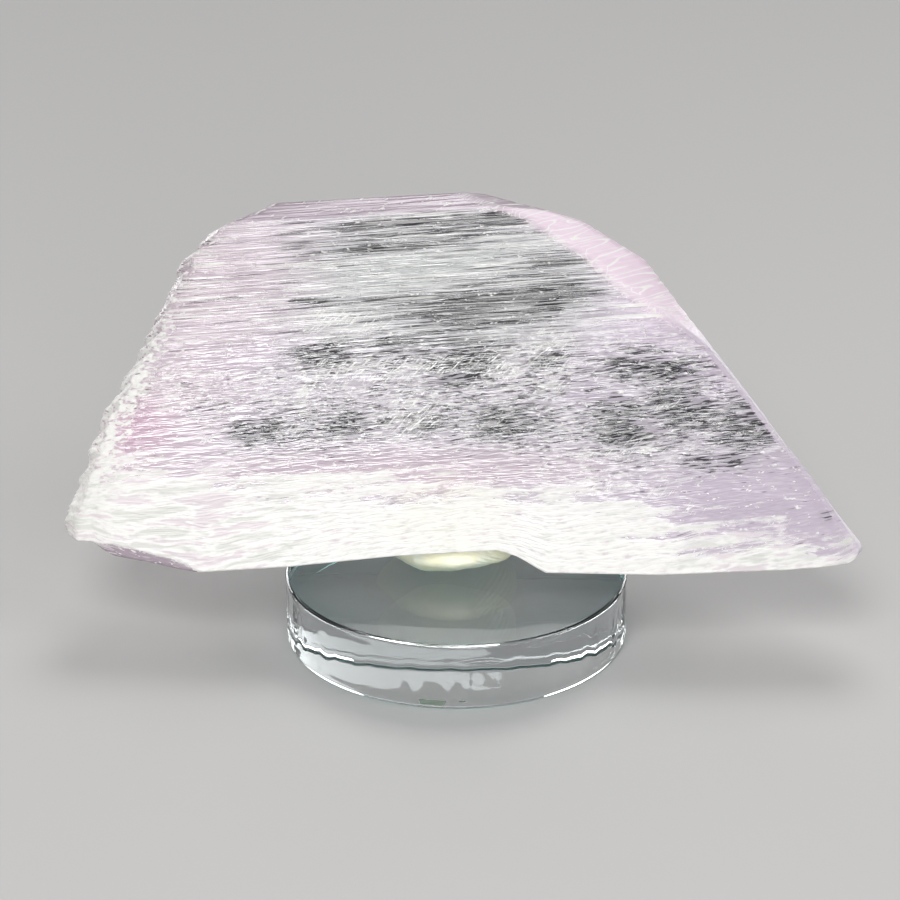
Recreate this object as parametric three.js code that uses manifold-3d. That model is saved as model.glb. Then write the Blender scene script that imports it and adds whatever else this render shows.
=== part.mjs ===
// A lilac kunzite crystal that leans back in a wad of putty on a round glass display disc.
// Millimetres, +Z up. The origin is the middle of the disc's underside. +X runs along the crystal,
// and its broad front face looks towards -Y.

import * as THREE from "three";
import { mergeVertices } from "three/addons/utils/BufferGeometryUtils.js";
import ManifoldModule from "manifold-3d";

// Glass disc
const DISC_RADIUS = 25;
const DISC_THICKNESS = 10;
const DISC_EDGE = 0.6;
const DISC_SEGMENTS = 80;

// Crystal pose: the broad face leans back, and its foot line crosses the middle plane at FACE_FOOT.
const LEAN_DEG = 44;
const YAW_DEG = -1.7;
const FACE_FOOT = new THREE.Vector3(0, -7, 17);

// Crystal size: FACE_HEIGHT is measured up the broad face. The growth lines fan out, level at the bottom
// and rising by TOP_RISE for each millimetre of length at the top ridge.
const FACE_HEIGHT = 57;
const TOP_RISE = 0.073;

// Both ends as [height up the face, place along the length]
const LEFT_END = [
  [0, -57.2], [3, -57.6], [8, -56.2], [21.5, -52.8], [30, -48.8], [47.5, -42.2], [52, -38], [57, -30],
];
const RIGHT_END = [[0, 59], [36.5, 33.1], [44.5, 27.4], [51, 18], [54.6, 8.6], [57, 3]];

// Lower edge as [place along the length, rise above the foot line], with a chipped hollow near the middle.
// The edge pulls the face along up to LOWER_EDGE_REACH, and its back rises to a keel.
const LOWER_EDGE = [
  [-56, 1.9], [-48, -2.4], [-36.5, -4.6], [-24, -3.7], [-9, -1.9], [6, -0.8], [9, -1.8], [12.7, -4.1],
  [29, -4.2], [47, -3.1], [58.3, -0.4],
];
const LOWER_EDGE_REACH = 13;
const KEEL_RISE = 4.7;

// Section as [height up the face, depth behind the broad face]
const FRONT_DEPTH = [[0, 0], [53, 0], [57, 2.5]];
const BACK_DEPTH = [[0, 6.9], [9.1, 12.2], [37.6, 12.6], [47.9, 9.6], [57, 6.4]];

// Bevels down both ends: the front ones as [height up the face, width]
const LEFT_BEVEL = [[0, 1.5], [6, 3], [47, 3.6], [57, 2]];
const RIGHT_BEVEL = [[0, 1.6], [30, 2.2], [38, 5.5], [44, 7.5], [52, 7], [57, 3]];
const BACK_BEVEL = 4;

// Facet cut under the front edge at the left end
const UNDERCUT_START = -30;
const UNDERCUT_LENGTH = 23;
const UNDERCUT_HEIGHT = 4.2;
const UNDERCUT_DEPTH = 4;

// Surface: growth grooves along the length, and ledges that step in and out up both ends
const GROOVE_DEPTH = 0.5;
const LEFT_LEDGE = 1.2;
const RIGHT_LEDGE = 0.35;
const LEDGE_ROWS = 3;
const LEDGE_REGULAR_SHARE = 0.6;

// Grid of the crystal: along the length, up the face and through the thickness
const COLUMNS = 18;
const ROWS = 50;
const LAYERS = 4;

// Putty: a dented ball, pressed flat on the disc, that stays PUTTY_GAP under the crystal
const PUTTY_CENTRE = new THREE.Vector3(-1, 3, 14.2);
const PUTTY_RADII = new THREE.Vector3(10, 9.4, 5);
const PUTTY_DENT_SHARE = 0.05;
const PUTTY_DENTS_ROUND = 5;
const PUTTY_GAP = 0.35;
const PUTTY_SEGMENTS = 28;
const PUTTY_RINGS = 18;

const wasm = await ManifoldModule();
wasm.setup();

// Repeatable scatter between 0 and 1
function scatter(index) {
  const wave = Math.sin(index * 12.9898) * 43758.5453;
  return wave - Math.floor(wave);
}

// Value at one place of a run of [place, value] points, straight between the points
function along(points, place) {
  const next = points.findIndex(([at]) => at >= place);
  if (next === -1) return points[points.length - 1][1];
  if (next === 0) return points[0][1];
  const [fromAt, fromValue] = points[next - 1];
  const [toAt, toValue] = points[next];
  return THREE.MathUtils.mapLinear(place, fromAt, toAt, fromValue, toValue);
}

// Only positions, with the points along the seams shared
function closed(geometry) {
  geometry.deleteAttribute("normal");
  geometry.deleteAttribute("uv");
  return mergeVertices(geometry);
}

function toSolid(geometry) {
  const vertProperties = new Float32Array(geometry.attributes.position.array);
  const triVerts = new Uint32Array(geometry.index.array);
  return new wasm.Manifold(new wasm.Mesh({ numProp: 3, vertProperties, triVerts }));
}

function toGeometry(solid) {
  const mesh = solid.getMesh();
  const geometry = new THREE.BufferGeometry();
  geometry.setAttribute("position", new THREE.BufferAttribute(mesh.vertProperties, 3));
  geometry.setIndex(new THREE.BufferAttribute(mesh.triVerts, 1));
  geometry.computeVertexNormals();
  return geometry;
}

// Moves each point of a geometry to the place that a function gives for it
function reshape(geometry, place) {
  const position = geometry.attributes.position;
  for (let i = 0; i < position.count; i += 1) {
    const point = place(new THREE.Vector3().fromBufferAttribute(position, i));
    position.setXYZ(i, point.x, point.y, point.z);
  }
  geometry.computeVertexNormals();
  return geometry;
}

// How far the bevels cut into an end. The outermost layers of the grid carry them.
function bevelInset(frontWidth, thicknessShare) {
  const layer = thicknessShare * LAYERS;
  const front = Math.max(0, 1 - layer);
  const back = Math.max(0, layer - (LAYERS - 1));
  return frontWidth * front + BACK_BEVEL * back;
}

// How far the ledges cut into an end: even steps with some scatter
function ledgeInset(depth, row, thicknessShare, seed) {
  const step = 1 - (row % LEDGE_ROWS) / (LEDGE_ROWS - 1);
  const layer = Math.round(thicknessShare * LAYERS);
  return depth * THREE.MathUtils.lerp(scatter(seed + row + ROWS * layer), step, LEDGE_REGULAR_SHARE);
}

// Point of the crystal from its shares of the length, of the height and of the thickness from the front.
// X runs along the length, Y up the broad face and Z out of it.
function crystalPoint(lengthShare, heightShare, thicknessShare) {
  const height = heightShare * FACE_HEIGHT;
  const row = Math.round(heightShare * ROWS);

  const leftInset =
    bevelInset(along(LEFT_BEVEL, height), thicknessShare) + ledgeInset(LEFT_LEDGE, row, thicknessShare, 1);
  const rightInset =
    bevelInset(along(RIGHT_BEVEL, height), thicknessShare) + ledgeInset(RIGHT_LEDGE, row, thicknessShare, 2);
  const left = along(LEFT_END, height) + leftInset;
  const right = along(RIGHT_END, height) - rightInset;
  const x = THREE.MathUtils.lerp(left, right, lengthShare);

  const lowerPull = Math.max(0, 1 - height / LOWER_EDGE_REACH) ** 2;
  const lowerRise = along(LOWER_EDGE, x) + KEEL_RISE * thicknessShare;
  const y = height + heightShare * TOP_RISE * x + lowerPull * lowerRise;

  const undercutShare = THREE.MathUtils.clamp((UNDERCUT_START - x) / UNDERCUT_LENGTH, 0, 1);
  const undercut = UNDERCUT_DEPTH * undercutShare * Math.max(0, 1 - height / UNDERCUT_HEIGHT);
  const front = along(FRONT_DEPTH, height) + undercut + GROOVE_DEPTH * scatter(row);
  const back = along(BACK_DEPTH, height) - GROOVE_DEPTH * scatter(row + ROWS);
  return new THREE.Vector3(x, y, -THREE.MathUtils.lerp(front, back, thicknessShare));
}

// The crystal is a gridded block, with each grid point moved to its place on the faces.
function crystalGeometry() {
  const block = closed(new THREE.BoxGeometry(1, 1, 1, COLUMNS, ROWS, LAYERS));
  return reshape(block, (point) => crystalPoint(point.x + 0.5, point.y + 0.5, 0.5 - point.z));
}

// Flat round disc with small bevelled edges
function discGeometry() {
  const inner = DISC_RADIUS - DISC_EDGE;
  const profile = [
    new THREE.Vector2(0, 0),
    new THREE.Vector2(inner, 0),
    new THREE.Vector2(DISC_RADIUS, DISC_EDGE),
    new THREE.Vector2(DISC_RADIUS, DISC_THICKNESS - DISC_EDGE),
    new THREE.Vector2(inner, DISC_THICKNESS),
    new THREE.Vector2(0, DISC_THICKNESS),
  ];
  const geometry = new THREE.LatheGeometry(profile, DISC_SEGMENTS);
  geometry.rotateX(Math.PI / 2);
  return geometry;
}

// A pressed ball of putty, flat on the disc and shaped on top by the crystal that sits in it
function puttyGeometry(crystal) {
  const sphere = closed(new THREE.SphereGeometry(1, PUTTY_SEGMENTS, PUTTY_RINGS));
  const ball = reshape(sphere, (point) => {
    const wave = Math.sin(PUTTY_DENTS_ROUND * point.x) * Math.cos(PUTTY_DENTS_ROUND * point.y);
    return point.multiplyScalar(1 + PUTTY_DENT_SHARE * wave).multiply(PUTTY_RADII).add(PUTTY_CENTRE);
  });
  const discBlock = closed(new THREE.BoxGeometry(2 * DISC_RADIUS, 2 * DISC_RADIUS, DISC_THICKNESS));
  discBlock.translate(0, 0, DISC_THICKNESS / 2);
  const pressedCrystal = crystal.geometry.clone().applyMatrix4(crystal.matrixWorld);
  pressedCrystal.translate(0, 0, -PUTTY_GAP);
  return toGeometry(toSolid(ball).subtract(toSolid(discBlock)).subtract(toSolid(pressedCrystal)));
}

const kunzite = new THREE.MeshStandardMaterial({ color: 0xdcc9dc, roughness: 0.35, metalness: 0 });
const palePutty = new THREE.MeshStandardMaterial({ color: 0xe6dfb8, roughness: 0.7, metalness: 0 });
const clearGlass = new THREE.MeshStandardMaterial({ color: 0xd8eeee, roughness: 0.05, metalness: 0 });

const disc = new THREE.Mesh(discGeometry(), clearGlass);
disc.name = "disc";

const crystal = new THREE.Mesh(crystalGeometry(), kunzite);
crystal.name = "crystal";
crystal.rotation.x = THREE.MathUtils.degToRad(90 - LEAN_DEG);

const crystalPose = new THREE.Group();
crystalPose.position.copy(FACE_FOOT);
crystalPose.rotation.z = THREE.MathUtils.degToRad(YAW_DEG);
crystalPose.add(crystal);
crystalPose.updateMatrixWorld(true);

const putty = new THREE.Mesh(puttyGeometry(crystal), palePutty);
putty.name = "putty";

const object = new THREE.Group();
object.add(disc, putty, crystalPose);

export default object;
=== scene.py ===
"""A lilac kunzite crystal that leans back in a wad of putty on a round glass display disc."""

import math

import bpy
from mathutils import Euler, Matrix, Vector


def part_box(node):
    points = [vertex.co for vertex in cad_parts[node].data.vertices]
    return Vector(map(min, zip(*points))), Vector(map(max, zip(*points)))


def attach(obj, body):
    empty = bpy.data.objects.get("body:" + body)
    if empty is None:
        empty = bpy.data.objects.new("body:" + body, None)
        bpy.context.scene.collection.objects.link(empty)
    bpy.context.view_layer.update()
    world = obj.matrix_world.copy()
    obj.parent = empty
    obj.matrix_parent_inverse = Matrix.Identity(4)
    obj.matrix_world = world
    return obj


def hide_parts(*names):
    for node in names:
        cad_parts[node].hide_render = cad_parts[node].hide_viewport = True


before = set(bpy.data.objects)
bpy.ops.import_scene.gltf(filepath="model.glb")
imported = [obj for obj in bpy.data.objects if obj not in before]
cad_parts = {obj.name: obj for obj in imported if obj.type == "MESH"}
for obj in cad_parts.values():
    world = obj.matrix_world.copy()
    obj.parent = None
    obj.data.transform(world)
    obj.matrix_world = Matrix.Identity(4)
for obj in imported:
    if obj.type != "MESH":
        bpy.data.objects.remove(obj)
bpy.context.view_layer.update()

bl_info = {
    "name": "Kunzite crystal",
    "version": (1, 0, 0),
    "blender": (4, 5, 0),
    "location": "View3D > Sidebar > Kunzite",
    "description": "Makes a striated kunzite crystal, its putty and its glass display disc",
    "category": "Add Mesh",
}

MM = 0.001
BODY = "root"
DISC_LOW, DISC_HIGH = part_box("disc")
PUTTY_LOW, PUTTY_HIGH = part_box("putty")

# The crystal's own frame, in millimetres: X along its length, Y up the broad face and Z out of it.
# The broad face leans back, and its foot line crosses the disc's middle plane at FACE_FOOT. The top ridge
# rises by TOP_RISE for each millimetre of length, and the growth lines by LINE_RISE.
LEAN = math.radians(44)
YAW = math.radians(-1.7)
FACE_FOOT = (0, -7, 17)
FACE_HEIGHT = 57
TOP_RISE = 0.073
LINE_RISE = 0.083

# Both ends as (height up the face, place along the length)
LEFT_END = (
    (0, -56.4), (3, -57.1), (8, -56.2), (21.5, -52.8), (30, -48.8), (47.5, -42.2), (52, -38), (57, -30),
)
RIGHT_END = (
    (0, 56.6), (0.5, 57.7), (1.2, 58.2), (2.2, 57.8), (36.5, 33.1), (44.5, 27.4), (51, 18), (54.6, 8.6),
    (57, 3),
)

# Lower edge as (place along the length, rise above the foot line), with a chipped hollow near the middle
LOWER_EDGE = (
    (-57, 0.6), (-54.8, -0.1), (-52.2, -0.2), (-50.6, -1.2), (-49, -1.9), (-44.5, -2.8), (-36.5, -4.7),
    (-24, -3.7), (-9, -1.9), (6, -0.8), (9, -1.8), (12.7, -4.1), (29, -4.2), (47, -3.2), (53.5, -2.6),
    (58.3, -1.6),
)

# Height up to which the lower edge pulls the face along, and the rise of its back to a keel
LOWER_EDGE_REACH = 13
KEEL_RISE = 4.7

# Section as (height up the face, depth behind the broad face)
FRONT_DEPTH = ((0, 0), (53, 0), (57, 2.5))
BACK_DEPTH = ((0, 6.9), (9.1, 12.2), (37.6, 12.6), (47.9, 9.6), (57, 6.4))

# Bevels down both ends, the front ones as (height up the face, width), over a share of the thickness
LEFT_BEVEL = ((0, 1.5), (6, 2.2), (47, 2.2), (57, 1.5))
RIGHT_BEVEL = ((0, 0.7), (30, 1.6), (38, 5.5), (44, 7.5), (52, 7), (57, 3))
BACK_BEVEL = 4
BEVEL_SHARE = 0.25

# Widths between which the right bevel passes from narrow to wide, where its etched part begins, and its rim
WIDE_BEVEL = (2, 5)
ETCHED_EDGE = (-3.5, -0.5)
RIM = (0.3, 1.2)

# Facet cut under the front edge at the left end: its top as (place along the length, height up the face),
# and how far it cuts in for each millimetre below that
UNDERCUT_TOP = ((-58, 0), (-52.4, 0), (-49.6, 1.1), (-40, 0.7), (-36, 0), (59, 0))
UNDERCUT_SLOPE = 1.4

# Sharp step in the right end of the broad face: where it begins along the length, and where it rises and
# then dies away up the face
STEP_DEPTH = 0.6
STEP_START = (24, 30)
STEP_RISE = (14.5, 14.9)
STEP_END = (15, 22)

# The level that the growth grooves fade to at the right end, and how far from that end they fade
MEAN_RELIEF = 0.3
GROOVES_FADE = (0.2, 2.5)

# Top of the milky foot, whose white is partly painted light, as (place along the length, height up the face)
FOOT_TOP = ((-58, 11), (-14, 10), (23, 6.5), (46, 2.5), (59, -1.5))

# Frost at the left end as (height up the face, reach over the broad face)
FROST_REACH = ((0, 6), (10, 7), (25, 5), (36, 3.2), (44, 1.8), (57, 1))

# Heights up the face between which the left end's lobes grow full, its frost thins, the flakes give way to
# long lines and the narrow facet along the top begins
LOBES_GROW = (8, 18)
FROST_THINS = (26, 42)
FLAKES_END = (26, 36)
TOP_FACET = (52.6, 53.4)

# Spacing of the frost's grains at the end and on the face, and of the etched rings down the wide bevel
END_GRAIN = 0.7
FACE_GRAIN = 0.9
RING_SPACING = 1.5

# How far the crystal's grid is drawn together towards both ends
END_CROWDING = 0.7

# Distance between the round lobes of the left end
LOBE_SPACING = 5

# Grooves and flakes of the surface as (length, width)
LONG_GROOVE = (80, 1.5)
FINE_GROOVE = (24, 0.5)
FLAKE = (6, 1.1)

# Marks inside the crystal as (length, width)
SHORT_THREAD = (3.5, 0.3)
LONG_THREAD = (15, 0.34)
SHORT_STRAND = (2.8, 0.34)
LONG_STRAND = (17, 0.31)
GRIT = (1.7, 0.65)
FIBRE = (3.5, 0.5)


class Field:
    """A number or vector that a node tree works out, written as plain sums and products."""

    def __init__(self, tree, socket):
        self.tree = tree
        self.socket = socket

    def __add__(self, other):
        return maths("ADD", self, other)

    def __radd__(self, other):
        return maths("ADD", other, self)

    def __sub__(self, other):
        return maths("SUBTRACT", self, other)

    def __rsub__(self, other):
        return maths("SUBTRACT", other, self)

    def __mul__(self, other):
        return maths("MULTIPLY", self, other)

    def __rmul__(self, other):
        return maths("MULTIPLY", other, self)

    def __truediv__(self, other):
        return maths("DIVIDE", self, other)


def put(socket, value):
    """Gives a socket a plain value or links a field to it."""
    if isinstance(value, Field):
        value.tree.links.new(value.socket, socket)
    else:
        socket.default_value = value


def tree_of(values):
    return next(value.tree for value in values if isinstance(value, Field))


def maths(operation, *values):
    tree = tree_of(values)
    node = tree.nodes.new("ShaderNodeMath")
    node.operation = operation
    for socket, value in zip(node.inputs, values):
        put(socket, value)
    return Field(tree, node.outputs[0])


def highest(first, second):
    return maths("MAXIMUM", first, second)


def blend(first, second, share):
    """Goes from the first number to the second as share goes from 0 to 1."""
    return first + (second - first) * share


def smooth(value, low, high):
    """Eases from 0 to 1 as a field goes from low to high."""
    node = value.tree.nodes.new("ShaderNodeMapRange")
    node.interpolation_type = "SMOOTHSTEP"
    for index, number in enumerate((value, low, high)):
        put(node.inputs[index], number)
    return Field(value.tree, node.outputs[0])


def vector(x, y, z):
    tree = tree_of((x, y, z))
    node = tree.nodes.new("ShaderNodeCombineXYZ")
    for socket, value in zip(node.inputs, (x, y, z)):
        put(socket, value)
    return Field(tree, node.outputs[0])


def parts(place):
    """The three numbers of a vector."""
    node = place.tree.nodes.new("ShaderNodeSeparateXYZ")
    put(node.inputs[0], place)
    return [Field(place.tree, socket) for socket in node.outputs]


def noise(place, detail=2.0, roughness=0.5):
    """Soft noise from 0 to 1 with features about one unit across."""
    node = place.tree.nodes.new("ShaderNodeTexNoise")
    put(node.inputs["Vector"], place)
    put(node.inputs["Scale"], 1.0)
    put(node.inputs["Detail"], detail)
    put(node.inputs["Roughness"], roughness)
    return Field(place.tree, node.outputs[0])


def flat_noise(across, up, detail=2.0, roughness=0.5):
    """Noise over two directions, which takes half the time."""
    field = noise(vector(across, up, 0), detail, roughness)
    field.socket.node.noise_dimensions = "2D"
    return field


def cells(place):
    """Distance to the middle of the nearest of many random cells about one unit across."""
    node = place.tree.nodes.new("ShaderNodeTexVoronoi")
    put(node.inputs["Vector"], place)
    put(node.inputs["Scale"], 1.0)
    return Field(place.tree, node.outputs["Distance"])


def profile(place, points):
    """Value of a run of (place, value) points, straight between the points."""
    first, last = points[0][0], points[-1][0]
    values = [value for _, value in points]
    low, high = min(values), max(values)
    node = place.tree.nodes.new("ShaderNodeFloatCurve")
    curve = node.mapping.curves[0]
    spots = [((at - first) / (last - first), (value - low) / (high - low)) for at, value in points]
    for spot in spots[1:-1]:
        curve.points.new(*spot)
    curve.points[0].location = spots[0]
    curve.points[len(spots) - 1].location = spots[-1]
    for point in curve.points:
        point.handle_type = "VECTOR"
    node.mapping.update()
    put(node.inputs["Value"], (place - first) / (last - first))
    return Field(place.tree, node.outputs[0]) * (high - low) + low


def colour_blend(first, second, share):
    """Goes from the first colour to the second as the field share goes from 0 to 1."""
    node = share.tree.nodes.new("ShaderNodeMix")
    node.data_type = "RGBA"
    put(node.inputs["Factor"], share)
    colours = [socket for socket in node.inputs if socket.type == "RGBA"]
    for socket, value in zip(colours, (first, second)):
        put(socket, value)
    return Field(share.tree, node.outputs[2])


def length(name, description, millimetres):
    return bpy.props.FloatProperty(
        name=name, description=description, default=millimetres * MM, unit="LENGTH",
    )


def count(name, description, default):
    return bpy.props.IntProperty(name=name, description=description, default=default)


def colour(name, description, red, green, blue):
    return bpy.props.FloatVectorProperty(
        name=name, description=description, subtype="COLOR", size=4, default=(red, green, blue, 1),
    )


class CrystalSettings(bpy.types.PropertyGroup):
    """Sizes and colours of the crystal"""

    face_height: length("Face height", "Broad face from the foot line to the top ridge", FACE_HEIGHT)
    groove_depth: length("Groove depth", "Depth of the growth grooves along the crystal", 0.5)
    flake_depth: length("Flake depth", "Height of the thin flakes in the middle of the faces", 0.22)
    lobe_depth: length("Lobe depth", "How far the left end steps in between its round lobes", 1.1)
    frost_depth: length("Frost depth", "Height of the sugary grains at the left end", 0.4)
    etch_depth: length("Etch depth", "Depth of the curved lines that are etched in the right bevel", 0.12)
    columns: count("Columns", "Grid points along the length", 132)
    rows: count("Rows", "Grid points up the face", 300)
    layers: count("Layers", "Grid points through the thickness", 17)
    seed: count("Seed", "Start of the random surface", 3)
    # Milky is partly painted light: the lower zone's cloudy white also stands in for the strong front light
    # on the foot
    milky: colour("Milky", "Cloudy white of the lower zone", 0.92, 0.925, 0.88)
    cream: colour("Cream", "Warm grey stains in the lower zone", 0.70, 0.715, 0.66)
    lilac: colour("Lilac", "Body colour", 0.62, 0.565, 0.63)
    rose: colour("Rose", "Pale pink of the left end and above the foot", 0.62, 0.515, 0.575)
    blush: colour("Blush", "Pale pink of the wide bevel", 0.82, 0.67, 0.77)
    pink: colour("Pink", "Deeper pink near the left edge", 0.58, 0.40, 0.50)
    # Mauve darkens the top facet, and under the left end it is painted shade of the facet set back under the
    # overhanging lobe
    facet_mauve_and_shade: colour("Mauve", "Facets along the top and under the left end", 0.42, 0.34, 0.40)
    violet: colour("Violet", "Cool tint of the right end", 0.59, 0.52, 0.61)
    # Partly painted sheen: the grey-green tone of the upper middle also stands in for the silvery shine of
    # its striations
    grey_green_and_painted_sheen: colour("Silver", "Grey green of the upper middle", 0.47, 0.487, 0.482)
    # Painted shade: a darker grey for the see-through middle, where the shade under the crystal shows through
    painted_see_through_shade: colour("Smoke", "Grey of the see-through middle", 0.40, 0.385, 0.42)
    # Clear is painted shade: a near-black colour that stands in for the dark seen through the clear windows
    clear: colour("Clear", "Tint of the clear windows", 0.01, 0.01, 0.012)
    haze: colour("Haze", "Colour that the thick crystal takes", 0.90, 0.74, 0.92)


# Zones of the broad face as ovals: middle along the length, middle up the face, half length, half height
# and rise along the length
# The clear windows, clear fields and dark seams mark where painted shade of the see-through darkens the face
CLEAR_WINDOWS = (
    (-8, 51.2, 17, 1.3, 0.02), (6.2, 50.9, 5, 1.5, 0.02), (-12.3, 47.1, 13, 0.9, 0.02),
    (11.5, 44.8, 7, 1.6, 0.03), (-18.7, 38.6, 8, 0.9, 0.04), (6, 37, 18, 4, 0.12), (-9.8, 32, 4, 1.4, 0.04),
    (-21, 30, 6, 3, 0.05), (1, 27.4, 7, 4, 0.05), (12.8, 28.1, 4, 1.8, 0.05), (29, 27, 10, 3.6, -0.1),
    (-29.6, 17.8, 6, 3.2, 0.05), (-16.7, 18.9, 4, 2.6, 0.05), (-5, 18.8, 5, 2.6, 0.05),
    (6.8, 18.6, 7, 3.8, 0.05), (-37.1, 21.2, 5, 2, 0.05), (23, 17.9, 6, 5.5, 0), (33, 20.5, 7, 4, -0.1),
    (41.3, 17.7, 6.5, 5.2, 0), (36.5, 12.6, 6, 2.2, 0), (52.7, 5.4, 1.6, 1.2, 0),
)
CLEAR_FIELDS = (
    (-4, 49.5, 27, 4, 0.02), (3, 38, 25, 6, 0.12), (-4, 29, 30, 8, 0.04), (8, 21, 32, 11, 0),
    (27, 21, 22, 12, -0.1), (-20, 18, 20, 7.5, 0.03), (42, 17, 8, 8, 0),
)
DARK_SEAMS = (
    (-9.5, 51.3, 13, 0.6, -0.01), (6.2, 51.6, 4.5, 1.1, 0.01), (-13.3, 47, 11, 0.5, 0),
    (14.8, 43.6, 5.5, 0.7, 0.03), (-22.4, 39, 4, 0.5, 0), (6.2, 37.7, 15, 2, 0.17),
    (-8.2, 31.4, 3.5, 0.5, 0.03), (-18.6, 28.4, 3.5, 0.7, 0.1), (-0.7, 26, 3.5, 0.7, 0.2),
    (-11.6, 19, 2.5, 0.6, 0.2), (43, 18, 3.5, 2.4, 0),
)
WHITE_VEILS = (
    (-17.1, 35.1, 9, 3.6, 0.03), (-14.7, 26.9, 14, 3.4, 0.03), (-3, 27.8, 7, 1.9, 0.04),
    (-22.6, 23.9, 1.7, 5.5, 0), (-7, 20, 5.5, 5, 0), (6, 27.5, 4.5, 4, 0), (13, 30.5, 5, 4, 0),
    (16.9, 8.7, 9, 1.2, 0.1), (26, 14.2, 17, 0.7, 0.06),
)
CALM_ZONES = (
    (-46, 15, 18, 10, 0), (44, 7, 26, 12, 0), (-12, 12.5, 40, 5, 0), (19, 23.4, 5, 3, 0),
    (35, 21.7, 5, 1.6, 0),
)
ROSE_ZONES = ((-54, 22, 30, 26, 0), (-46, 44, 30, 26, 0), (-10, 12, 42, 5.5, 0))
PINK_ZONES = ((-49, 19, 9, 7, 0),)
VIOLET_ZONES = ((38, 22, 24, 14, 0), (44, 6, 28, 14, 0), (30, 36, 14, 18, 0), (19, 23.4, 6, 4, 0))
# Upper middle, whose grey-green tone is partly painted sheen
SILVER_ZONES = ((-2, 42, 38, 17, 0),)
STAINED_ZONES = ((-40, 4, 24, 10, 0), (45, 2, 16, 6, 0))


def oval(x, height, place):
    """1 in the middle of an oval, 0 outside it."""
    middle_x, middle_height, half_length, half_height, rise = place
    across = (x - middle_x) / half_length
    up = (height - middle_height - (x - middle_x) * rise) / half_height
    return highest(0, 1 - (across * across + up * up))


def zone(x, height, ovals, strength=1):
    """Soft zone that is made of ovals."""
    total = oval(x, height, ovals[0])
    for place in ovals[1:]:
        total = highest(total, oval(x, height, place))
    return smooth(total * strength, 0, 1.1)


# Geometry tree of the crystal

def new_shape_tree(name, sockets):
    """A geometry tree with the given named inputs, its input fields and its output node."""
    tree = bpy.data.node_groups.new(name, "GeometryNodeTree")
    tree.interface.new_socket("Geometry", in_out="OUTPUT", socket_type="NodeSocketGeometry")
    for label, kind in sockets:
        tree.interface.new_socket(label, in_out="INPUT", socket_type=kind)
    start = tree.nodes.new("NodeGroupInput")
    fields = {label: Field(tree, start.outputs[label]) for label, _ in sockets}
    return tree, fields, tree.nodes.new("NodeGroupOutput")


def bevel_inset(front_width, depth_share):
    """How far the bevels cut into an end, in the outermost shares of the thickness."""
    front = highest(0, 1 - depth_share / BEVEL_SHARE)
    back = highest(0, (depth_share - 1) / BEVEL_SHARE + 1)
    return front * front_width + back * BACK_BEVEL


def line_level(x, height):
    """Place across the growth lines, which all rise gently to the right."""
    return height * (1 + x * (TOP_RISE / FACE_HEIGHT)) - x * LINE_RISE


def growth_relief(x, height, seed, groove_depth, flake_depth):
    """Depth of the growth grooves and flakes: long even grooves high on the face, flakes lower down."""
    level = line_level(x, height)
    long_lines = noise(vector(x / LONG_GROOVE[0], level / LONG_GROOVE[1], seed), 4, 0.7)
    fine_lines = noise(vector(x / FINE_GROOVE[0], level / FINE_GROOVE[1], seed + 4), 2, 0.6)
    steps = maths("FLOOR", long_lines * 9) / 9
    lines = blend(long_lines, steps, 0.5) + (fine_lines - 0.5) * 0.4
    flakes = noise(vector(x / FLAKE[0], (level - x * 0.06) / FLAKE[1], seed + 8), 3, 0.6)
    flake_steps = maths("FLOOR", flakes * 7) / 7
    upper = smooth(height, 18, 34)
    above_foot = smooth(height, 6, 16)
    grooves = lines * groove_depth * (0.45 + upper * 0.55)
    return (grooves + flake_steps * flake_depth * (1.2 - upper)) * (0.15 + above_foot * 0.85)


def end_lobes(height, depth_share, seed, depth):
    """How far the left end steps in between its round lobes, which stand out by half of that."""
    wander = noise(vector(height / 9, depth_share * 1.2, seed), 2) * 4
    lobe = maths("ABSOLUTE", maths("SINE", (height / LOBE_SPACING + wander + depth_share * 0.7) * math.pi))
    scatter = noise(vector(height / 1.5, depth_share * 6, seed), 2)
    return ((1 - lobe) * 0.9 + scatter * 0.4 - 0.5) * depth


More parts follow.
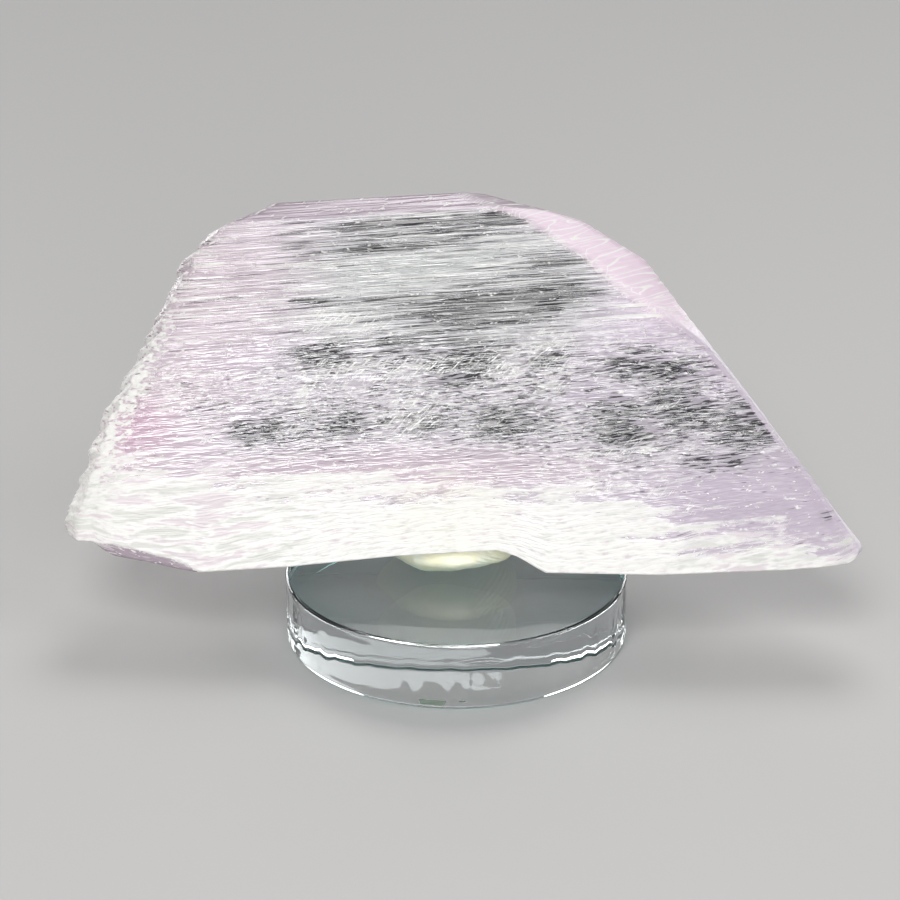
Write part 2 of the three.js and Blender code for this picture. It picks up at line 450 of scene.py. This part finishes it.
def crystal_tree(face_height):
    """Grows the crystal from a gridded block: each grid point moves to its place on the crystal's faces."""
    tree, given, result = new_shape_tree("Crystal growth", (
        ("Columns", "NodeSocketInt"),
        ("Rows", "NodeSocketInt"),
        ("Layers", "NodeSocketInt"),
        ("Groove depth", "NodeSocketFloat"),
        ("Flake depth", "NodeSocketFloat"),
        ("Lobe depth", "NodeSocketFloat"),
        ("Frost depth", "NodeSocketFloat"),
        ("Etch depth", "NodeSocketFloat"),
        ("Seed", "NodeSocketInt"),
        ("Material", "NodeSocketMaterial"),
    ))
    block = tree.nodes.new("GeometryNodeMeshCube")
    put(block.inputs["Size"], (1, 1, 1))
    put(block.inputs["Vertices X"], given["Columns"])
    put(block.inputs["Vertices Y"], given["Rows"])
    put(block.inputs["Vertices Z"], given["Layers"])

    seed = given["Seed"] * 10
    grid = parts(Field(tree, tree.nodes.new("GeometryNodeInputPosition").outputs[0]))
    even_share = grid[0] + 0.5
    length_share = even_share - maths("SINE", even_share * math.tau) * (END_CROWDING / math.tau)
    height_share = grid[1] + 0.5
    depth_share = 0.5 - grid[2]
    height = height_share * face_height

    grains = cells(vector(height / END_GRAIN, depth_share * 17, seed)) * given["Frost depth"]
    lobe_depth = given["Lobe depth"] * blend(0.35, 1, smooth(height, *LOBES_GROW))
    lobes = end_lobes(height, depth_share, seed, lobe_depth) + grains
    left_inset = bevel_inset(profile(height, LEFT_BEVEL), depth_share) + lobes
    bend = noise(vector(height / 6, depth_share * 5, seed + 2), 2)
    rings = maths("SINE", (height / RING_SPACING + depth_share * 9 + bend * 4) * math.tau) * 0.5 + 0.5
    right_width = profile(height, RIGHT_BEVEL)
    wide_bevel = smooth(right_width, *WIDE_BEVEL)
    right_inset = bevel_inset(right_width, depth_share) + rings * wide_bevel * given["Etch depth"]
    left = profile(height, LEFT_END) + left_inset
    right = profile(height, RIGHT_END) - right_inset
    x = blend(left, right, length_share)

    pull = maths("POWER", highest(0, 1 - height / LOWER_EDGE_REACH), 2)
    edge_rise = profile(x, LOWER_EDGE) + depth_share * KEEL_RISE
    y = height + height_share * x * TOP_RISE + pull * edge_rise

    undercut = highest(0, profile(x, UNDERCUT_TOP) - height)
    near_left = 1 - smooth((x - left) / profile(height, FROST_REACH), 0, 1)
    frost = near_left * blend(1, 0.45, smooth(height, *FROST_THINS))
    rough_left = cells(vector(x / FACE_GRAIN, height / FACE_GRAIN, seed)) * frost * given["Frost depth"]
    inside = smooth(right - x, *GROOVES_FADE)
    relief = growth_relief(x, height, seed, given["Groove depth"], given["Flake depth"])
    relief = blend(MEAN_RELIEF, relief, inside)
    back_relief = growth_relief(x, height, seed + 50, given["Groove depth"], given["Flake depth"])
    step = smooth(x, *STEP_START) * smooth(height, *STEP_RISE) * (1 - smooth(height, *STEP_END))
    front = profile(height, FRONT_DEPTH) + undercut * UNDERCUT_SLOPE + relief + rough_left + step * STEP_DEPTH
    back = profile(height, BACK_DEPTH) - back_relief
    z = blend(front, back, depth_share) * -1

    etched = smooth(x - right, *ETCHED_EDGE) * wide_bevel
    facet = smooth(undercut, 0.02, 0.2)
    rim = 1 - smooth(right - x, *RIM)
    shaped = Field(tree, block.outputs["Mesh"])
    shaped = store_vector(tree, shaped, "finish", vector(frost, etched, facet))
    shaped = store_zones(tree, shaped, x, height, z, rim)

    turn = tree.nodes.new("ShaderNodeVectorRotate")
    turn.rotation_type = "EULER_XYZ"
    put(turn.inputs["Vector"], vector(x, y, z))
    put(turn.inputs["Rotation"], (math.pi / 2 - LEAN, 0, YAW))
    across, away, up = parts(Field(tree, turn.outputs[0]))
    foot_x, foot_y, foot_z = FACE_FOOT
    place = tree.nodes.new("GeometryNodeSetPosition")
    put(place.inputs["Geometry"], shaped)
    put(place.inputs["Position"], vector((across + foot_x) * MM, (away + foot_y) * MM, (up + foot_z) * MM))
    finish_shape(tree, Field(tree, place.outputs[0]), given["Material"], result)
    return tree


def store_zones(tree, geometry, x, height, z, rim):
    """Keeps on each point its place along and across the growth lines, and how far it lies in each zone."""
    # The pattern slants through the thickness, so that the ends and the top have lines too
    across = x + z * 1.7
    up = line_level(x, height) + z * 0.8
    clouds = noise(vector(x / 6, up / 2, z / 6), 3, 0.6)
    bands = flat_noise(across / 30, up / 1.6, 2, 0.6)
    stained = zone(x, height, STAINED_ZONES)
    stains = 0.5 + (flat_noise(across / 10, up / 1.2, 3, 0.6) - 0.5) * blend(0.3, 1.8, stained)
    patches = noise(vector(x / 9, up / 2.5, z / 6 + 5), 2)
    bend = flat_noise(across / 6, up / 3, 1) - 0.5
    patchy = blend(0.4, 1.8, clouds)
    field = zone(x, height, CLEAR_FIELDS, patchy)
    window = blend(field, zone(x, height, CLEAR_WINDOWS, patchy), 0.5)
    window = highest(window, zone(x, height, DARK_SEAMS, 1.6)) * (1 - rim)
    flaky = 1 - smooth(height, *FLAKES_END)
    veil = highest(zone(x, height, WHITE_VEILS, patchy), (1 - smooth(patches, 0.34, 0.44)) * flaky * 0.6)
    top = smooth(height, *TOP_FACET)
    quiet = highest(smooth(patches, 0.55, 0.66) * flaky, highest(top, rim) * 0.8)
    calm = highest(zone(x, height, CALM_ZONES), quiet)
    violet = zone(x, height, VIOLET_ZONES)
    foot_level = height - profile(x, FOOT_TOP) + (clouds - 0.5) * 14 + (bands - 0.5) * 14
    upper = smooth(height + (clouds - 0.5) * 18, 24, 36)
    geometry = store_vector(tree, geometry, "growth", vector(across, up, upper))
    geometry = store_vector(tree, geometry, "light", vector(window, veil, calm))
    geometry = store_vector(tree, geometry, "tint", vector(
        zone(x, height, ROSE_ZONES), violet, zone(x, height, SILVER_ZONES),
    ))
    geometry = store_vector(tree, geometry, "edge", vector(zone(x, height, PINK_ZONES), rim, top))
    return store_vector(tree, geometry, "foot", vector(1 - smooth(foot_level, -5, 5), stains, bend))


def store_vector(tree, geometry, name, value):
    """Keeps a vector on each point of the mesh under a name."""
    node = tree.nodes.new("GeometryNodeStoreNamedAttribute")
    node.data_type = "FLOAT_VECTOR"
    node.domain = "POINT"
    put(node.inputs["Geometry"], geometry)
    put(node.inputs["Name"], name)
    put(node.inputs["Value"], value)
    return Field(tree, node.outputs[0])


def finish_shape(tree, geometry, material, result):
    """Smooth shading, no instances and the piece's material, at the end of a geometry tree."""
    realized = tree.nodes.new("GeometryNodeRealizeInstances")
    smoothed = tree.nodes.new("GeometryNodeSetShadeSmooth")
    painted = tree.nodes.new("GeometryNodeSetMaterial")
    put(realized.inputs["Geometry"], geometry)
    put(smoothed.inputs["Geometry"], Field(tree, realized.outputs[0]))
    put(painted.inputs["Geometry"], Field(tree, smoothed.outputs[0]))
    put(painted.inputs["Material"], material)
    put(result.inputs["Geometry"], Field(tree, painted.outputs[0]))


def add_object(name, mesh):
    piece = bpy.data.objects.new(name, mesh)
    bpy.context.scene.collection.objects.link(piece)
    return piece


def grown_piece(name, mesh, tree, values):
    """A new object with the plain mesh that a geometry tree makes with these values."""
    maker = add_object(name, mesh)
    modifier = maker.modifiers.new("Shape", "NODES")
    modifier.node_group = tree
    for item in tree.interface.items_tree:
        if item.in_out == "INPUT" and item.name in values:
            modifier[item.identifier] = values[item.name]
    depsgraph = bpy.context.evaluated_depsgraph_get()
    made = bpy.data.meshes.new_from_object(maker.evaluated_get(depsgraph), depsgraph=depsgraph)
    maker.modifiers.remove(modifier)
    maker.data = made
    made.name = name
    if not made.polygons:
        raise RuntimeError(f"{name} has no faces")
    return maker


# Materials

def new_material(name):
    material = bpy.data.materials.new(name)
    material.use_nodes = True
    shader = material.node_tree.nodes["Principled BSDF"]
    return material, material.node_tree, shader


def stored(tree, name):
    node = tree.nodes.new("ShaderNodeAttribute")
    node.attribute_name = name
    return Field(tree, node.outputs["Vector"])


def object_place(tree):
    """Place on the piece in millimetres."""
    node = tree.nodes.new("ShaderNodeTexCoord")
    scaled = tree.nodes.new("ShaderNodeVectorMath")
    scaled.operation = "SCALE"
    tree.links.new(node.outputs["Object"], scaled.inputs[0])
    put(scaled.inputs["Scale"], 1 / MM)
    return Field(tree, scaled.outputs[0])


def bump(height, distance, strength=1.0):
    node = height.tree.nodes.new("ShaderNodeBump")
    put(node.inputs["Height"], height)
    put(node.inputs["Distance"], distance)
    put(node.inputs["Strength"], strength)
    return Field(height.tree, node.outputs[0])


def add_absorption(tree, tint, density):
    """Tints the light on its way through the piece."""
    node = tree.nodes.new("ShaderNodeVolumeAbsorption")
    put(node.inputs["Color"], tint)
    put(node.inputs["Density"], density)
    tree.links.new(node.outputs[0], tree.nodes["Material Output"].inputs["Volume"])


def straight_marks(across, up, size, detail, roughness):
    """Noise whose marks have the given length and width."""
    mark_length, mark_width = size
    return flat_noise(across / mark_length, up / mark_width, detail, roughness)


def bent_marks(across, up, size, bend, roughness):
    """Noise whose marks have the given length and width, and wander."""
    mark_length, mark_width = size
    return flat_noise(across / mark_length + bend, up / mark_width + bend * 2, 1, roughness)


def growth_pattern(across, up, upper, bend):
    """Dark threads, where the painted shade of the clear windows shows, and pale strands, which make the bump
    and the painted glints of the pale lines: long and straight high on the face, short and flaky lower down.
    """
    short_threads = bent_marks(across, up - across * 0.05, SHORT_THREAD, bend, 0.7)
    long_threads = straight_marks(across, up, LONG_THREAD, 1, 0.65)
    short_strands = bent_marks(across, up, SHORT_STRAND, bend, 0.75)
    long_strands = straight_marks(across, up, LONG_STRAND, 1, 0.7)
    return blend(short_threads, long_threads, upper), blend(short_strands, long_strands, upper)


def fibres(across, up):
    """Thin fibres that cross the growth lines at half a right angle."""
    return smooth(straight_marks(across + up, up - across, FIBRE, 2, 0.6), 0.57, 0.65)


def squiggles(across, up):
    """Thin curved lines, as etching leaves them."""
    swirl = flat_noise(across / 5, up / 5, 1) * 12
    off_line = maths("ABSOLUTE", maths("FRACT", swirl) - 0.5)
    return 1 - smooth(off_line, 0.03, 0.15)


def kunzite_material(colours):
    """Clear lilac crystal with long growth lines, white veils and a milky foot. The clear windows are painted
    near black as painted shade, the pale lines and flecks are painted glints, and the foot's white is partly
    painted light.
    """
    material, tree, shader = new_material("Kunzite")
    across, up, upper = parts(stored(tree, "growth"))
    frost, etched, facet = parts(stored(tree, "finish"))
    window, veil, calm = parts(stored(tree, "light"))
    rose, violet, grey_green_and_painted_sheen = parts(stored(tree, "tint"))
    pink, rim, top = parts(stored(tree, "edge"))
    foot, stains, bend = parts(stored(tree, "foot"))

    threads, strands = growth_pattern(across, up, upper, bend)
    grit = straight_marks(across, up, GRIT, 2, 0.65)
    # The milky foot's white is partly real cloudiness and partly painted light from the front
    streaky_foot = smooth(foot + (strands - 0.5) * 1.1, 0.15, 0.8) * (1 - facet)
    milky = highest(streaky_foot, smooth(grit + frost * 0.32, 0.64, 0.76))
    pale = highest(highest(milky, etched), facet)
    reach = window * blend(0.28, 0.39, upper) - calm * 0.14
    clear = (1 - smooth(threads - reach, 0.31, 0.38)) * blend(0.7, 0.97, window) * (1 - pale)
    plain = highest(highest(calm, top) * 0.9, facet * 0.5)
    # Painted glints: the pale lines along the growth strands stand in for light caught by the striations
    ridges = smooth(strands + veil * 0.1, 0.57, 0.66) * blend(0.85, 0.4, window) * (1 - plain)
    # Painted glints: the small white flecks below stand in for sparkle, most of all low on the face and along
    # the top
    chipped = highest(top, 1 - highest(upper, calm) * 0.8)
    painted_glint_flecks = smooth(grit + veil * 0.12 + top * 0.06, 0.77, 0.81) * chipped
    # The marks join the painted glint flecks to the real fibres and etched lines
    marks = highest(highest(painted_glint_flecks, fibres(across, up) * veil), squiggles(across, up) * etched)
    # White of the milky foot, real marks and painted glints, mixed over the body colour
    white_marks_and_painted_shine = highest(highest(ridges, milky), marks)

    # Grey-green tone of the upper middle, partly painted sheen
    body = colour_blend(colours.lilac, colours.grey_green_and_painted_sheen, grey_green_and_painted_sheen)
    body = colour_blend(body, colours.rose, rose)
    body = colour_blend(body, colours.violet, violet)
    # Painted shade: the see-through fields, windows and dark seams are greyed down
    body = colour_blend(body, colours.painted_see_through_shade, window * 0.75)
    body = colour_blend(body, colours.blush, etched)
    body = colour_blend(body, colours.pink, pink)
    # Darker along the top facet, and painted shade on the set-back facet under the left end
    body = colour_blend(body, colours.facet_mauve_and_shade, highest(top, facet * 0.8))
    # Painted shade: the clear windows are painted near black for the dark seen through them
    body = colour_blend(body, colours.clear, clear)
    fleck = (strands + grit - 1) * 0.28
    green_stain = smooth(stains + fleck, 0.48, 0.68) * streaky_foot
    rose_stain = (1 - smooth(stains - fleck, 0.32, 0.48)) * streaky_foot
    bright = colour_blend(colours.milky, colours.cream, green_stain)
    bright = colour_blend(bright, colours.rose, rose_stain * 0.6)
    # The white parts carry painted light: glints on the lines and flecks, and partly the foot
    put(shader.inputs["Base Color"], colour_blend(body, bright, white_marks_and_painted_shine))
    put(shader.inputs["Transmission Weight"], 0.5)
    rough = highest(frost, highest(etched, rim))
    put(shader.inputs["Roughness"], blend(blend(0.18, 0.4, white_marks_and_painted_shine), 0.08, clear) + rough * 0.25)
    put(shader.inputs["IOR"], 1.66)
    relief = strands * (1 - highest(highest(pale, rim), calm) * 0.75) + grit * frost * 0.6
    put(shader.inputs["Normal"], bump(relief, 0.3 * MM, 0.8))
    add_absorption(tree, colours.haze, 12)
    return material


class KUNZITE_OT_crystal(bpy.types.Operator):
    """Make the striated crystal in place of its plain solid"""

    bl_idname = "kunzite.make_crystal"
    bl_label = "Make crystal"

    def execute(self, context):
        given = context.scene.kunzite_crystal
        tree = crystal_tree(given.face_height / MM)
        crystal = grown_piece("kunzite_crystal", bpy.data.meshes.new("crystal"), tree, {
            "Columns": given.columns,
            "Rows": given.rows,
            "Layers": given.layers,
            "Groove depth": given.groove_depth / MM,
            "Flake depth": given.flake_depth / MM,
            "Lobe depth": given.lobe_depth / MM,
            "Frost depth": given.frost_depth / MM,
            "Etch depth": given.etch_depth / MM,
            "Seed": given.seed,
            "Material": kunzite_material(given),
        })
        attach(crystal, BODY)
        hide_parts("crystal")
        return {"FINISHED"}


class PuttySettings(bpy.types.PropertyGroup):
    """Surface and colours of the putty"""

    swell: length("Swell", "How far the putty rises to stick to the crystal", 0.4)
    tuck: length("Tuck", "How far its lower front is pushed back", 2)
    lump_depth: length("Lump depth", "Height of its soft lumps", 0.5)
    ridge_spacing: length("Ridge spacing", "Distance between the finger ridges", 0.65)
    ridge_depth: length("Ridge depth", "Depth of the finger ridges", 0.16)
    cream: colour("Cream", "Main colour", 0.97, 0.92, 0.68)
    pale: colour("Pale", "Pale green grey of its cloudy places", 0.92, 0.93, 0.78)


# Mesh of the putty: the voxels it is made of and how many times it is softened
PUTTY_VOXEL = 0.14 * MM
PUTTY_SOFTENING = 30

# The putty's flat foot, with the height over which its surface comes loose from it, and the size of its lumps
PUTTY_FOOT = PUTTY_LOW[2]
PUTTY_FOOT_RISE = 0.8 * MM
PUTTY_LUMP = 3 * MM

# Height of the tucked part, the places from front to back between which the tuck fades, and the places from
# left to right between which the finger ridges grow full
TUCK_HEIGHT = 4 * MM
TUCK_FADE = (-2 * MM, 5 * MM)
RIDGES_GROW = (1 * MM, PUTTY_HIGH[0] * 0.7)


def putty_material(colours):
    material, tree, shader = new_material("Mounting putty")
    x, y, z = parts(object_place(tree))
    clouds = noise(vector(x / 4, y / 4, z / 4), 3)
    grain = noise(vector(x / 0.4, y / 0.4, z / 0.4), 2)
    put(shader.inputs["Base Color"], colour_blend(colours.cream, colours.pale, smooth(clouds, 0.35, 0.7)))
    put(shader.inputs["Roughness"], 0.45 + clouds * 0.2)
    put(shader.inputs["Normal"], bump(grain, 0.1 * MM, 0.5))
    put(shader.inputs["Subsurface Weight"], 0.15)
    put(shader.inputs["Subsurface Radius"], (2 * MM, 2 * MM, 1.2 * MM))
    put(shader.inputs["Subsurface Scale"], 1.0)
    return material


def putty_tree():
    """Swells the lump against the crystal, tucks in its lower front and ridges its right end."""
    tree, given, result = new_shape_tree("Pressed putty", (
        ("Geometry", "NodeSocketGeometry"),
        ("Swell", "NodeSocketFloat"),
        ("Tuck", "NodeSocketFloat"),
        ("Lump depth", "NodeSocketFloat"),
        ("Ridge spacing", "NodeSocketFloat"),
        ("Ridge depth", "NodeSocketFloat"),
        ("Material", "NodeSocketMaterial"),
    ))
    place = Field(tree, tree.nodes.new("GeometryNodeInputPosition").outputs[0])
    normal = Field(tree, tree.nodes.new("GeometryNodeInputNormal").outputs[0])
    x, y, z = parts(place)
    above = smooth(z, PUTTY_FOOT, PUTTY_FOOT + PUTTY_FOOT_RISE)
    lumps = noise(vector(x / PUTTY_LUMP, y / PUTTY_LUMP, z / PUTTY_LUMP), 2) - 0.5
    right_end = smooth(x, *RIDGES_GROW)
    ridges = maths("SINE", (x * 0.6 + z) / given["Ridge spacing"] * math.tau)
    push = given["Swell"] + lumps * given["Lump depth"] + ridges * right_end * given["Ridge depth"]
    out_x, out_y, out_z = parts(normal)
    move = push * above
    low_front = (1 - smooth(y, *TUCK_FADE)) * (1 - smooth(z, PUTTY_FOOT, PUTTY_FOOT + TUCK_HEIGHT))
    tuck = low_front * given["Tuck"]
    moved = tree.nodes.new("GeometryNodeSetPosition")
    put(moved.inputs["Geometry"], given["Geometry"])
    put(moved.inputs["Offset"], vector(out_x * move, out_y * move + tuck, out_z * move))
    finish_shape(tree, Field(tree, moved.outputs[0]), given["Material"], result)
    return tree


def remeshed_copy(name, node, voxel, rounds):
    """An even, softened mesh of a solid, with its place in its mesh."""
    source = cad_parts[node]
    piece = add_object(name, source.data.copy())
    piece.data.transform(source.matrix_world)
    weld = piece.modifiers.new("Weld", "WELD")
    weld.merge_threshold = 0.001 * MM
    remesh = piece.modifiers.new("Remesh", "REMESH")
    remesh.mode = "VOXEL"
    remesh.voxel_size = voxel
    soften = piece.modifiers.new("Soften", "SMOOTH")
    soften.factor = 0.5
    soften.iterations = rounds
    depsgraph = bpy.context.evaluated_depsgraph_get()
    mesh = bpy.data.meshes.new_from_object(piece.evaluated_get(depsgraph), depsgraph=depsgraph)
    bpy.data.objects.remove(piece)
    return mesh


class KUNZITE_OT_putty(bpy.types.Operator):
    """Make the pressed putty in place of its plain solid"""

    bl_idname = "kunzite.make_putty"
    bl_label = "Make putty"

    def execute(self, context):
        given = context.scene.kunzite_putty
        lump = remeshed_copy("lump", "putty", PUTTY_VOXEL, PUTTY_SOFTENING)
        putty = grown_piece("mounting_putty", lump, putty_tree(), {
            "Swell": given.swell,
            "Tuck": given.tuck,
            "Lump depth": given.lump_depth,
            "Ridge spacing": given.ridge_spacing,
            "Ridge depth": given.ridge_depth,
            "Material": putty_material(given),
        })
        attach(putty, BODY)
        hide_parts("putty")
        return {"FINISHED"}


class DiscSettings(bpy.types.PropertyGroup):
    """Sizes and tint of the glass disc"""

    edge_radius: length("Edge radius", "Rounding of the two rims", 0.6)
    wall_ripple: length("Wall ripple", "Upright waves in the moulded wall", 0.07)
    tint: colour("Tint", "Colour that thick glass takes", 0.78, 0.95, 0.95)


DISC_SEGMENTS = 240
DISC_EDGE_STEPS = 6
DISC_WALL_STEPS = 12

# Upright waves of the disc's wall as (number round the disc, strength, start angle)
WALL_WAVES = ((31, 1, 1.3), (53, 0.7, 4.1), (97, 0.5, 0))
WALL_WAVES_STRENGTH = sum(strength for _, strength, _ in WALL_WAVES)


def wall_wave(angle, share, ripple):
    """Upright waves of the wall, strongest at the middle of its height."""
    waves = sum(strength * math.sin(number * angle + start) for number, strength, start in WALL_WAVES)
    return ripple * waves * math.sin(math.pi * share) / WALL_WAVES_STRENGTH


def disc_mesh(edge, ripple):
    """Lathe-turned disc with rounded rims. The wall's rings carry upright waves."""
    radius = DISC_HIGH[0]
    bottom, top = DISC_LOW[2], DISC_HIGH[2]
    rings = []
    for step in range(DISC_EDGE_STEPS + 1):
        turn = math.pi / 2 * step / DISC_EDGE_STEPS
        rings.append((radius - edge + edge * math.sin(turn), bottom + edge - edge * math.cos(turn), 0))
    for step in range(1, DISC_WALL_STEPS):
        share = step / DISC_WALL_STEPS
        rings.append((radius, bottom + edge + (top - bottom - 2 * edge) * share, share))
    for step in range(DISC_EDGE_STEPS + 1):
        turn = math.pi / 2 * step / DISC_EDGE_STEPS
        rings.append((radius - edge + edge * math.cos(turn), top - edge + edge * math.sin(turn), 0))
    points = []
    for ring_radius, height, share in rings:
        for spoke in range(DISC_SEGMENTS):
            angle = math.tau * spoke / DISC_SEGMENTS
            reach = ring_radius + wall_wave(angle, share, ripple) - ripple * (share > 0)
            points.append((reach * math.cos(angle), reach * math.sin(angle), height))
    faces = [tuple(range(DISC_SEGMENTS))[::-1]]
    for ring in range(len(rings) - 1):
        for spoke in range(DISC_SEGMENTS):
            here = ring * DISC_SEGMENTS
            beyond = (spoke + 1) % DISC_SEGMENTS
            faces.append((
                here + spoke, here + beyond, here + DISC_SEGMENTS + beyond, here + DISC_SEGMENTS + spoke,
            ))
    last = (len(rings) - 1) * DISC_SEGMENTS
    faces.append(tuple(range(last, last + DISC_SEGMENTS)))
    mesh = bpy.data.meshes.new("glass_disc")
    mesh.from_pydata(points, [], faces)
    mesh.validate()
    mesh.shade_smooth()
    mesh.polygons[0].use_smooth = False
    mesh.polygons[len(mesh.polygons) - 1].use_smooth = False
    return mesh


def glass_material(tint):
    """Clear glass with a faint sea-green tint and fine wipe marks."""
    material, tree, shader = new_material("Clear glass")
    x, y, z = parts(object_place(tree))
    wipes = noise(vector(x / 9, y / 0.8, z / 2), 3, 0.6)
    put(shader.inputs["Base Color"], (1, 1, 1, 1))
    put(shader.inputs["Transmission Weight"], 1.0)
    put(shader.inputs["IOR"], 1.5)
    put(shader.inputs["Roughness"], smooth(wipes, 0.5, 0.9) * 0.04)
    add_absorption(tree, tint, 5)
    return material


class KUNZITE_OT_disc(bpy.types.Operator):
    """Make the clear glass disc in place of its plain solid"""

    bl_idname = "kunzite.make_disc"
    bl_label = "Make disc"

    def execute(self, context):
        given = context.scene.kunzite_disc
        mesh = disc_mesh(given.edge_radius, given.wall_ripple)
        mesh.materials.append(glass_material(given.tint))
        disc = add_object("glass_disc", mesh)
        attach(disc, BODY)
        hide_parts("disc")
        return {"FINISHED"}


class StageSettings(bpy.types.PropertyGroup):
    """Floor, light and camera"""

    floor_colour: colour("Floor", "Colour of the floor", 0.36, 0.355, 0.35)
    sky_colour: colour("Surroundings", "Colour of the light from all round", 0.8, 0.8, 0.82)
    sky_strength: bpy.props.FloatProperty(
        name="Surroundings strength", description="Strength of the light from all round", default=0.3,
    )


FLOOR_SIZE = 6.0
FLOOR_GAP = 0.1 * MM
CAMERA_AIM = Vector((0, 0, 28.673)) * MM
CAMERA_DISTANCE = 400 * MM
CAMERA_PITCH = math.radians(23.5)
CAMERA_LENS_MM = 111.36
CAMERA_SENSOR_MM = 36
CAMERA_SHIFT = -0.0069

# Soft lights as name, place in metres, size in metres and power in watts
SOFT_LIGHTS = (
    ("key", (-0.12, -0.60, 0.62), 0.4, 5.5),
    ("front", (0.25, -1.35, 0.50), 0.8, 9.0),
    ("right", (0.65, -0.25, 0.40), 0.4, 2.0),
    ("left", (-0.65, -0.30, 0.35), 0.4, 0.8),
    ("back", (0.1, 0.5, 0.75), 0.5, 3.4),
    ("left_back", (-0.80, 1.15, 0.16), 0.7, 9.0),
    ("right_back", (0.85, 1.15, 0.16), 0.7, 7.0),
)


class KUNZITE_OT_stage(bpy.types.Operator):
    """Make the floor, the soft lights and the camera"""

    bl_idname = "kunzite.make_stage"
    bl_label = "Make stage"

    def execute(self, context):
        given = context.scene.kunzite_stage
        self.add_floor(given.floor_colour)
        self.add_light(context.scene, given)
        self.add_camera(context.scene)
        return {"FINISHED"}

    @staticmethod
    def add_floor(colour):
        half = FLOOR_SIZE / 2
        mesh = bpy.data.meshes.new("floor")
        low = DISC_LOW[2] - FLOOR_GAP
        corners = [(-half, -half, low), (half, -half, low), (half, half, low), (-half, half, low)]
        mesh.from_pydata(corners, [], [(0, 1, 2, 3)])
        material, _, shader = new_material("Pale floor")
        put(shader.inputs["Base Color"], colour)
        put(shader.inputs["Roughness"], 0.6)
        mesh.materials.append(material)
        add_object("floor", mesh)

    @staticmethod
    def add_light(scene, given):
        world = bpy.data.worlds.new("Surroundings")
        world.use_nodes = True
        background = world.node_tree.nodes["Background"]
        put(background.inputs["Color"], given.sky_colour)
        put(background.inputs["Strength"], given.sky_strength)
        scene.world = world
        for name, place, size, power in SOFT_LIGHTS:
            lamp = bpy.data.lights.new(name, "AREA")
            lamp.shape = "DISK"
            lamp.size = size
            lamp.energy = power
            light = add_object(name, lamp)
            light.location = place
            light.rotation_euler = (Vector(place) - CAMERA_AIM).to_track_quat("Z", "Y").to_euler()

    @staticmethod
    def add_camera(scene):
        lens = bpy.data.cameras.new("camera")
        lens.sensor_width = CAMERA_SENSOR_MM
        lens.lens = CAMERA_LENS_MM
        lens.shift_x = CAMERA_SHIFT
        lens.clip_start = 1 * MM
        camera = add_object("camera", lens)
        back = Vector((0, -math.cos(CAMERA_PITCH), math.sin(CAMERA_PITCH)))
        camera.location = CAMERA_AIM + back * CAMERA_DISTANCE
        camera.rotation_euler = Euler((math.pi / 2 - CAMERA_PITCH, 0, 0))
        scene.camera = camera
        scene.view_settings.view_transform = "Standard"


class KUNZITE_PT_panel(bpy.types.Panel):
    """Sizes, colours and steps of the crystal, its putty, its disc and the stage"""

    bl_label = "Kunzite crystal"
    bl_space_type = "VIEW_3D"
    bl_region_type = "UI"
    bl_category = "Kunzite"

    def draw(self, context):
        for settings, operator in SECTIONS:
            box = self.layout.box()
            group = getattr(context.scene, settings)
            for name in group.bl_rna.properties.keys():
                if name not in ("rna_type", "name"):
                    box.prop(group, name)
            box.operator(operator)


SECTIONS = (
    ("kunzite_stage", "kunzite.make_stage"),
    ("kunzite_disc", "kunzite.make_disc"),
    ("kunzite_putty", "kunzite.make_putty"),
    ("kunzite_crystal", "kunzite.make_crystal"),
)
SETTINGS = {
    "kunzite_stage": StageSettings,
    "kunzite_disc": DiscSettings,
    "kunzite_putty": PuttySettings,
    "kunzite_crystal": CrystalSettings,
}
CLASSES = (
    *SETTINGS.values(), KUNZITE_OT_stage, KUNZITE_OT_disc, KUNZITE_OT_putty, KUNZITE_OT_crystal,
    KUNZITE_PT_panel,
)


def register():
    for kind in CLASSES:
        bpy.utils.register_class(kind)
    for name, kind in SETTINGS.items():
        setattr(bpy.types.Scene, name, bpy.props.PointerProperty(type=kind))


def unregister():
    for name in SETTINGS:
        delattr(bpy.types.Scene, name)
    for kind in reversed(CLASSES):
        bpy.utils.unregister_class(kind)


def main():
    register()
    bpy.ops.kunzite.make_stage()
    bpy.ops.kunzite.make_disc()
    bpy.ops.kunzite.make_putty()
    bpy.ops.kunzite.make_crystal()


if __name__ == "__main__":
    main()
